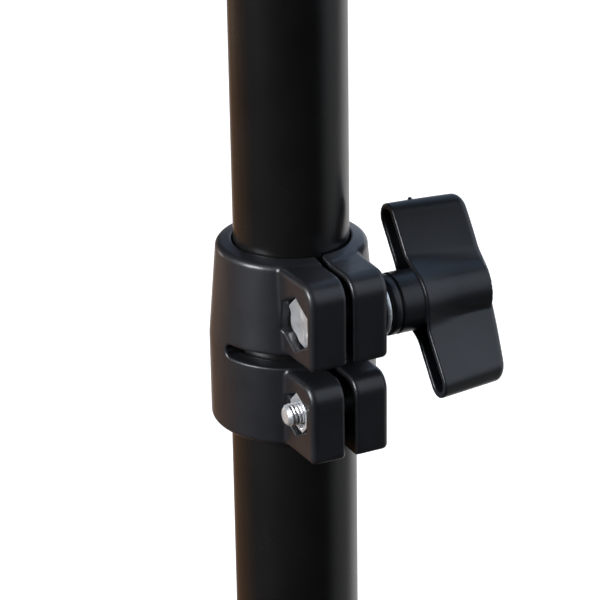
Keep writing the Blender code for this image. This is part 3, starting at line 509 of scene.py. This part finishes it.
# ---- Bolts, nut, washer and tubes -----------------------------------------------------
def hex_head_field(flats, height, turn, wave=0.0, hole=0.0):
    """A chamfered hexagon with its face at x = 0 and its body towards +x, turned about its bolt.
    A wave wears the face uneven; a hole makes it a nut, with a small dent by the hole."""
    def field(x, y, z):
        across = np.hypot(y, z)
        side = hexagon(y * math.cos(turn) - z * math.sin(turn), y * math.sin(turn) + z * math.cos(turn),
                       flats / math.sqrt(3.0))
        shape = round_meet(side, np.maximum(-x, x - height), 0.2)
        cone = (across - flats * 0.545 - 1.7 * x) * 0.5
        shape = round_meet(shape, cone, 0.15)
        if wave:
            face = x - 0.3 + wave * np.sin(1.2 * z + 0.7 * y + 0.6) + 0.06 * z
            shape = round_cut(shape, face * 0.9, 0.25)
        if hole:
            shape = round_cut(shape, across - hole - np.clip(0.5 - x, 0.0, 0.5), 0.1)
            dent = np.sqrt((y + 1.0) ** 2 + (z + 3.3) ** 2 + (x + 0.1) ** 2) - 0.5
            shape = round_cut(shape, dent, 0.1)
        return shape
    return field


def thread_field(radius, pitch, length):
    """A threaded rod with a chamfered tip at x = 0, running to +x."""
    def field(x, y, z):
        across = np.hypot(y, z)
        turn = np.arctan2(z, y) / (2.0 * math.pi)
        phase = np.abs((x / pitch - turn) % 1.0 - 0.5) * 2.0
        ridge = radius - 0.55 * pitch * np.clip(phase - 0.12, 0.0, 0.8)
        shape = (across - ridge) * 0.75
        tip = (across - (radius - 0.75) - x) * 0.7
        return np.maximum(np.maximum(shape, tip), np.maximum(-x, x - length))
    return field


def hex_moulding(name, flats, height, field, place):
    reach = flats / math.sqrt(3.0) + 0.5
    low = (-0.6, -reach, -reach)
    high = (height + 0.6, reach, reach)
    return moulding(name, field, low, high, HEX_CELL, place)


def make_clamp_bolt():
    face = BOLT_LOW.x
    field = hex_head_field(BOLT_FLATS, BOLT_HEAD_H, BOLT_TURN, wave=BOLT_WAVE)
    head = hex_moulding("clamp_bolt_head", BOLT_FLATS, BOLT_HEAD_H, field, bolt_line(UPPER_BOLT, face))
    length = millimetres(BOLT_HIGH.x - face) - STEM_FROM
    profile = [(0.0, length), (STEM_TIP_R, length), (BOLT_R, length - STEM_CHAMFER), (BOLT_R, 0.0),
               (0.0, 0.0)]
    stem = lathe("clamp_bolt_stem", profile, 32, turned_on_bolt(UPPER_BOLT, face + STEM_FROM * MM))
    return [new_object("clamp_bolt_head", head, "mast", "zinc_plate", "clamp_bolt"),
            new_object("clamp_bolt_stem", stem, "mast", "zinc_plate", "clamp_bolt")]


def make_collar_nut():
    height = millimetres(NUT_HIGH.x - NUT_LOW.x)
    field = hex_head_field(NUT_FLATS, height, NUT_TURN, hole=NUT_HOLE_R)
    mesh = hex_moulding("lock_nut", NUT_FLATS, height, field, bolt_line(LOWER_BOLT, NUT_LOW.x))
    return new_object("lock_nut", mesh, "mast", "zinc_plate", "collar_nut")


def make_collar_screw():
    tip = SCREW_LOW.x
    field = thread_field(SCREW_R, SCREW_PITCH, SCREW_THREADED)
    thread = moulding("screw_thread", field, (-0.4, -3.0, -3.0), (SCREW_THREADED + 0.4, 3.0, 3.0),
                      THREAD_CELL, bolt_line(LOWER_BOLT, tip))
    top = millimetres(SCREW_HIGH.x - tip)
    under = top - SCREW_HEAD_H
    core_end = SCREW_THREADED - 0.5
    profile = [(0.0, top - 1.6), (SCREW_RECESS_R, top - 1.6), (SCREW_RECESS_R, top - 0.1), (2.0, top),
               (3.3, top), (SCREW_HEAD_R - 0.4, top - 0.5), (SCREW_HEAD_R, top - 1.4),
               (SCREW_HEAD_R, under + 0.2), (SCREW_HEAD_R - 0.2, under), (SCREW_CORE_R, under),
               (SCREW_CORE_R, core_end), (0.0, core_end)]
    head = lathe("screw_head", profile, 48, turned_on_bolt(LOWER_BOLT, tip))
    return [new_object("screw_thread", thread, "mast", "zinc_plate", "collar_screw"),
            new_object("screw_head", head, "mast", "zinc_plate", "collar_screw")]


def round_edges(radius, top, bottom, rounding):
    """The outer side of a turned part, with round edges at its top and its bottom."""
    middle = radius - rounding
    return (arc((middle, top - rounding), rounding, 90, 0)
            + arc((middle, bottom + rounding), rounding, 0, -90))


def make_washer():
    height = millimetres(WASHER_HIGH.x - WASHER_LOW.x)
    radius = millimetres(WASHER_HIGH.z - WASHER_LOW.z) / 2.0
    profile = round_edges(radius, height, 0.0, WASHER_ROUND)
    profile += [(WASHER_HOLE_R + 0.1, 0.0), (WASHER_HOLE_R, 0.15), (WASHER_HOLE_R, height - 0.15),
                (WASHER_HOLE_R + 0.1, height)]
    mesh = lathe("flat_washer", profile, 96, turned_on_bolt(UPPER_BOLT, WASHER_LOW.x), True)
    return new_object("flat_washer", mesh, "mast", "zinc_plate", "knob_washer")


def make_tube(name, node, body, wall):
    low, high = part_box(node)
    radius = millimetres(high.x)
    hole = radius - wall
    top = millimetres(high.z)
    bottom = millimetres(low.z)
    profile = round_edges(radius, top, bottom, TUBE_ROUND)
    profile += [(hole + TUBE_BEVEL, bottom), (hole, bottom + TUBE_BEVEL), (hole, top - TUBE_BEVEL),
                (hole + TUBE_BEVEL, top)]
    return new_object(name, lathe(name, profile, 144, Matrix(), True), body, "black_paint", node)


# ---- Materials ------------------------------------------------------------------------
class Nodes:
    """Small help for building a node material."""

    def __init__(self, name):
        self.material = bpy.data.materials.new(name)
        self.material.use_nodes = True
        self.tree = self.material.node_tree
        self.shader = self.tree.nodes["Principled BSDF"]
        self.place = self.add("ShaderNodeTexCoord").outputs["Object"]

    def add(self, kind, **values):
        node = self.tree.nodes.new(kind)
        for key, value in values.items():
            setattr(node, key, value)
        return node

    def link(self, start, end):
        self.tree.links.new(start, end)

    def noise(self, scale, detail=4.0, rough=0.55, stretch=(1.0, 1.0, 1.0)):
        mapping = self.add("ShaderNodeMapping")
        mapping.inputs["Scale"].default_value = stretch
        self.link(self.place, mapping.inputs["Vector"])
        node = self.add("ShaderNodeTexNoise")
        node.inputs["Scale"].default_value = scale
        node.inputs["Detail"].default_value = detail
        node.inputs["Roughness"].default_value = rough
        self.link(mapping.outputs["Vector"], node.inputs["Vector"])
        return node.outputs["Fac"]

    def ramp(self, source, stops):
        """Two colours, each at its own place on the ramp."""
        node = self.add("ShaderNodeValToRGB")
        for element, (position, colour) in zip(node.color_ramp.elements, stops):
            element.position = position
            element.color = (*colour, 1.0)
        self.link(source, node.inputs["Fac"])
        return node.outputs["Color"]

    def spread(self, source, low, high):
        node = self.add("ShaderNodeMapRange")
        node.inputs["To Min"].default_value = low
        node.inputs["To Max"].default_value = high
        self.link(source, node.inputs["Value"])
        return node.outputs["Result"]

    def bump(self, source, strength, distance, before=None):
        node = self.add("ShaderNodeBump")
        node.inputs["Strength"].default_value = strength
        node.inputs["Distance"].default_value = distance
        self.link(source, node.inputs["Height"])
        if before is not None:
            self.link(before, node.inputs["Normal"])
        return node.outputs["Normal"]

    def finish(self, colour, roughness=None, normal=None, **values):
        """Links the shader's inputs; other inputs are given by name, with _ for a space."""
        for key, source in (("Base Color", colour), ("Roughness", roughness), ("Normal", normal)):
            if source is not None:
                self.link(source, self.shader.inputs[key])
        for key, value in values.items():
            self.shader.inputs[key.replace("_", " ")].default_value = value
        return self.material


def black_paint():
    """Satin black paint on steel tube, with faint orange peel and slightly worn gloss."""
    n = Nodes("black_paint")
    colour = n.ramp(n.noise(60.0), ((0.3, (0.0065, 0.006, 0.006)), (0.7, (0.010, 0.0095, 0.009))))
    gloss = n.spread(n.noise(140.0, 3.0), 0.22, 0.30)
    peel = n.bump(n.noise(900.0, 2.0), 0.05, 0.0002)
    return n.finish(colour, gloss, peel, Specular_IOR_Level=0.5)


def moulded_black():
    """Moulded nylon with a fine grain, its gloss made uneven by handling."""
    n = Nodes("moulded_black")
    colour = n.ramp(n.noise(90.0), ((0.3, (0.010, 0.010, 0.012)), (0.7, (0.017, 0.017, 0.020))))
    gloss = n.spread(n.noise(160.0, 6.0, 0.65), 0.30, 0.56)
    grain = n.bump(n.noise(2600.0, 3.0), 0.22, 0.0002)
    return n.finish(colour, gloss, grain, Specular_IOR_Level=0.5, Coat_Weight=0.35, Coat_Roughness=0.14)


def knob_black():
    """The knobs' moulding: smoother than the collar, with faint flow marks."""
    n = Nodes("knob_black")
    colour = n.ramp(n.noise(70.0), ((0.3, (0.008, 0.009, 0.011)), (0.7, (0.013, 0.014, 0.017))))
    gloss = n.spread(n.noise(180.0, 5.0), 0.30, 0.42)
    flow = n.bump(n.noise(60.0, 3.0, stretch=(1.0, 4.0, 4.0)), 0.06, 0.0008)
    grain = n.bump(n.noise(1500.0, 3.0), 0.10, 0.0002, flow)
    return n.finish(colour, gloss, grain, Specular_IOR_Level=0.5, Coat_Weight=0.2, Coat_Roughness=0.2)


def zinc_plate():
    """Bright zinc on steel, dulled and lumpy with wear."""
    n = Nodes("zinc_plate")
    colour = n.ramp(n.noise(350.0, 5.0), ((0.3, (0.78, 0.80, 0.83)), (0.7, (0.93, 0.93, 0.92))))
    gloss = n.spread(n.noise(700.0, 4.0), 0.22, 0.42)
    lumps = n.bump(n.noise(260.0, 2.0), 0.5, 0.0012)
    marks = n.bump(n.noise(1100.0, 4.0), 0.2, 0.0003, lumps)
    return n.finish(colour, gloss, marks, Metallic=0.65)


def rubber():
    """Dull black rubber, scuffed to an uneven grey."""
    n = Nodes("rubber")
    colour = n.ramp(n.noise(120.0), ((0.3, (0.014, 0.014, 0.014)), (0.7, (0.026, 0.026, 0.025))))
    gloss = n.spread(n.noise(260.0, 5.0), 0.62, 0.82)
    grain = n.bump(n.noise(1200.0, 4.0), 0.25, 0.0003)
    return n.finish(colour, gloss, grain, Specular_IOR_Level=0.4)


LOOKS = {
    "black_paint": black_paint(),
    "black_plastic": moulded_black(),
    "knob_plastic": knob_black(),
    "zinc_plate": zinc_plate(),
    "rubber": rubber(),
}


def dress(obj):
    """A new piece takes its slot's material."""
    obj.data.materials.clear()
    obj.data.materials.append(LOOKS[obj["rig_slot"]])


def dress_nodes():
    """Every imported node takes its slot's material."""
    for entry in frame["record"]["subparts"]:
        node = frame["nodes"][entry["node"]]
        for index in range(len(node.data.materials)):
            node.material_slots[index].material = LOOKS[entry["material_slot"]]


# ---- Stage, light and camera ----------------------------------------------------------
CAMERA_LENS = 153.0
CAMERA_AZIMUTH = math.radians(-26.3)
CAMERA_ELEVATION = math.radians(23.4)
CAMERA_ROLL = math.radians(-0.89)
CAMERA_DISTANCE = 0.5605
AIM_RIGHT = 0.0017
AIM_BELOW_COLLAR_TOP = 0.0155


def make_camera():
    right = Vector((math.cos(CAMERA_AZIMUTH), math.sin(CAMERA_AZIMUTH), 0.0))
    near = Vector((math.sin(CAMERA_AZIMUTH), -math.cos(CAMERA_AZIMUTH), 0.0))
    up = Vector((0.0, 0.0, 1.0))
    back = near * math.cos(CAMERA_ELEVATION) + up * math.sin(CAMERA_ELEVATION)
    aim = right * AIM_RIGHT + up * (COLLAR_TOP - AIM_BELOW_COLLAR_TOP)
    data = bpy.data.cameras.new("camera")
    data.lens = CAMERA_LENS
    data.clip_start = 0.01
    camera = bpy.data.objects.new("camera", data)
    bpy.context.scene.collection.objects.link(camera)
    over = back.cross(right)
    turn = Matrix((right, over, back)).transposed().to_4x4()
    camera.matrix_world = (Matrix.Translation(aim + back * CAMERA_DISTANCE) @ turn
                           @ Matrix.Rotation(CAMERA_ROLL, 4, "Z"))
    bpy.context.scene.camera = camera


# The studio's soft lights: turn about the stand to the right of the camera's side and height, in
# degrees, the patch's full and faded edges in degrees from its middle, and its colour and strength.
SOFT_PATCHES = (
    (160.0, -20.0, 12.0, 50.0, (0.90, 0.88, 0.87)),
    (105.0, -20.0, 10.0, 45.0, (0.36, 0.36, 0.36)),
    (-132.0, -30.0, 16.0, 50.0, (0.27, 0.13, 0.05)),
    (-127.0, -4.0, 2.0, 12.0, (2.50, 2.50, 2.45)),
    (-60.0, 20.0, 5.0, 18.0, (22.5, 23.3, 24.5)),
    (85.0, 27.0, 10.0, 47.0, (0.95, 1.07, 1.24)),
    (150.0, 35.0, 15.0, 45.0, (0.33, 0.45, 0.65)),
    (5.0, 55.0, 15.0, 45.0, (0.10, 0.11, 0.12)),
)
ROOM = (0.012, 0.012, 0.012)
FLOOR_REACH = 30.0
FLOOR_DROP = 0.001


def make_world():
    """A dim room with soft bright patches, and plain white where the camera looks straight at it."""
    world = bpy.data.worlds.new("studio")
    world.use_nodes = True
    tree = world.node_tree
    background = tree.nodes["Background"]
    place = tree.nodes.new("ShaderNodeTexCoord").outputs["Generated"]
    total = None
    for turn, height, inner, outer, colour in SOFT_PATCHES:
        angle = CAMERA_AZIMUTH + math.radians(turn)
        rise = math.radians(height)
        toward = tree.nodes.new("ShaderNodeVectorMath")
        toward.operation = "DOT_PRODUCT"
        toward.inputs[1].default_value = (math.sin(angle) * math.cos(rise),
                                          -math.cos(angle) * math.cos(rise), math.sin(rise))
        tree.links.new(place, toward.inputs[0])
        patch = tree.nodes.new("ShaderNodeMapRange")
        patch.interpolation_type = "SMOOTHSTEP"
        patch.inputs["From Min"].default_value = math.cos(math.radians(outer))
        patch.inputs["From Max"].default_value = math.cos(math.radians(inner))
        tree.links.new(toward.outputs["Value"], patch.inputs["Value"])
        tint = tree.nodes.new("ShaderNodeVectorMath")
        tint.operation = "SCALE"
        tint.inputs[0].default_value = colour
        tree.links.new(patch.outputs["Result"], tint.inputs["Scale"])
        add = tree.nodes.new("ShaderNodeVectorMath")
        add.inputs[1].default_value = ROOM
        if total is not None:
            tree.links.new(total, add.inputs[1])
        tree.links.new(tint.outputs["Vector"], add.inputs[0])
        total = add.outputs["Vector"]
    seen = tree.nodes.new("ShaderNodeMix")
    seen.data_type = "RGBA"
    seen.inputs["B"].default_value = (1.0, 1.0, 1.0, 1.0)
    tree.links.new(tree.nodes.new("ShaderNodeLightPath").outputs["Is Camera Ray"], seen.inputs["Factor"])
    tree.links.new(total, seen.inputs["A"])
    tree.links.new(seen.outputs["Result"], background.inputs["Color"])
    bpy.context.scene.world = world


def make_floor():
    """A pale floor that glows a little, so that it stays near white, and isn't seen in reflections."""
    reach = FLOOR_REACH
    mesh = bpy.data.meshes.new("floor")
    mesh.from_pydata([(-reach, -reach, 0), (reach, -reach, 0), (reach, reach, 0), (-reach, reach, 0)],
                     [], [(0, 1, 2, 3)])
    floor = bpy.data.objects.new("floor", mesh)
    bpy.context.scene.collection.objects.link(floor)
    floor.location.z = -FLOOR_DROP
    floor.visible_glossy = False
    floor.visible_diffuse = False
    n = Nodes("pale_floor")
    colour = n.ramp(n.noise(3.0), ((0.3, (0.86, 0.86, 0.86)), (0.7, (0.90, 0.90, 0.90))))
    mesh.materials.append(n.finish(colour, Roughness=0.9, Emission_Color=(1.0, 1.0, 1.0, 1.0),
                                   Emission_Strength=0.70))


def make_stage():
    make_floor()
    make_world()
    bpy.context.scene.view_settings.view_transform = "Standard"


def main():
    dress_nodes()
    pieces = [make_collar(), make_wing_knob(), make_collar_nut(), make_washer(),
              make_tube("lower_mast", "outer_tube", "mast", OUTER_WALL),
              make_tube("upper_mast", "inner_tube", "upper_mast", INNER_WALL)]
    pieces += make_clamp_bolt()
    pieces += make_collar_screw()
    pieces += [make_thumb_knob("leg_lock_knob", (0.0, -1.0, 0.0)),
               make_thumb_knob("head_lock_knob", (1.0, 0.0, 0.0)),
               make_thumb_knob("tilt_knob", (1.0, 0.0, 0.0))]
    for piece in pieces:
        dress(piece)
    make_stage()
    make_camera()


main()
